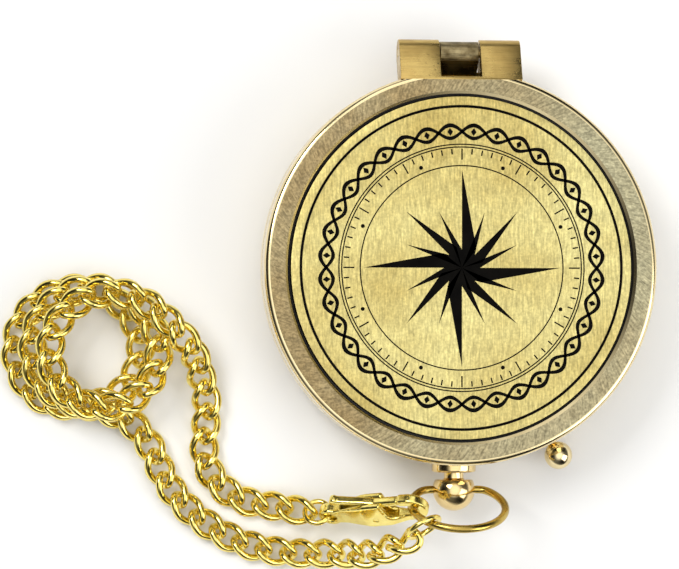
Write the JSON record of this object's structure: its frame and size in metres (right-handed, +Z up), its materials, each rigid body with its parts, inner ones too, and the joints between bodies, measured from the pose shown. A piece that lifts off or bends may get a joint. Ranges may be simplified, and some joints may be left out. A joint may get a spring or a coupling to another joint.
{
  "type": "pocket compass",
  "caption": "Round brass pocket compass with a hinged engraved lid, needle lock knob, pendant bow and a clipped curb chain.",
  "frame": {"origin": "the middle of the case's flat lower face, on which the closed compass lies", "axes": "+Z up through the lid, +Y towards the lid's hinge, -Y towards the pendant and bow, +X to the right as seen from above"},
  "size_m": [0.0829, 0.0676, 0.0155],
  "materials": {
    "polished_brass": "polished, worn",
    "satin_brass": "fine satin",
    "brushed_brass": "brushed, engraved in black",
    "olive_brass": "polished wire",
    "chain_gold": "bright gold plate",
    "steel": "ground",
    "blued_steel": "blued, satin",
    "dial_enamel": "satin white with black print",
    "jewel": "gloss",
    "crystal_glass": "clear"
  },
  "bodies": {
    "case": {"case_bowl": "polished_brass", "case_hinge_leaf": "satin_brass", "hinge_pin": "satin_brass", "crystal": "crystal_glass", "crystal_ring": "polished_brass", "dial": "dial_enamel", "spacer_ring": "polished_brass", "pivot_post": "steel", "lever_bracket": "satin_brass", "lever_pin": "steel", "lever_spring": "steel", "spring_rivet": "satin_brass", "knob_bush": "polished_brass", "pendant_collar": "polished_brass", "pendant_ball": "polished_brass", "chain_lead_b": "chain_gold", "chain_run_b": "chain_gold", "chain_pile": "chain_gold", "chain_run_a": "chain_gold", "chain_lead_a": "chain_gold"},
    "lid": {"lid_rim": "satin_brass", "lid_plate": "brushed_brass", "lid_hinge_leaf": "satin_brass"},
    "needle": {"needle": "blued_steel", "needle_cap": "polished_brass", "cap_jewel": "jewel"},
    "knob": {"lock_knob": "polished_brass"},
    "lever": {"brake_lever": "satin_brass"},
    "bow": {"bow": "olive_brass", "clasp_body": "chain_gold", "clasp_pin": "chain_gold", "clasp_spring": "steel", "clasp_ring": "chain_gold", "end_ring": "chain_gold"},
    "gate": {"clasp_gate": "chain_gold"}
  },
  "joints": [
    {"name": "lid_open", "type": "hinge", "parent": "case", "child": "lid", "pos_m": [0, 0.0274, 0.0095], "axis": [-1, 0, 0], "range_deg": [0, 110]},
    {"name": "needle_spin", "type": "hinge", "parent": "case", "child": "needle", "pos_m": [0, 0, 0.0057], "axis": [0, 0, 1], "continuous": true},
    {"name": "needle_lock", "type": "slide", "parent": "case", "child": "knob", "axis": [0.5, -0.866, 0], "range_m": [0, 0.0012]},
    {"name": "lever_tilt", "type": "hinge", "parent": "case", "child": "lever", "pos_m": [0.0065, -0.01126, 0.00265], "axis": [-0.866, -0.5, 0], "range_deg": [0, 1.6], "deforming": ["lever_spring"]},
    {"name": "bow_swing", "type": "hinge", "parent": "case", "child": "bow", "pos_m": [0, -0.0283, 0.0054], "axis": [1, 0, 0], "range_deg": [-35, 88], "deforming": ["chain_lead_b", "chain_lead_a"]},
    {"name": "gate_open", "type": "hinge", "parent": "bow", "child": "gate", "pos_m": [-0.00999, -0.03116, 0.0064], "axis": [-0.2242, -0.8293, 0.5119], "range_deg": [0, 14], "stiffness_Nm_per_rad": 0.001, "springref_deg": -17.19, "deforming": ["clasp_spring"]}
  ],
  "couplings": [
    {"joint": "lever_tilt", "follows": "needle_lock", "rad_per_m": 22.4}
  ]
}
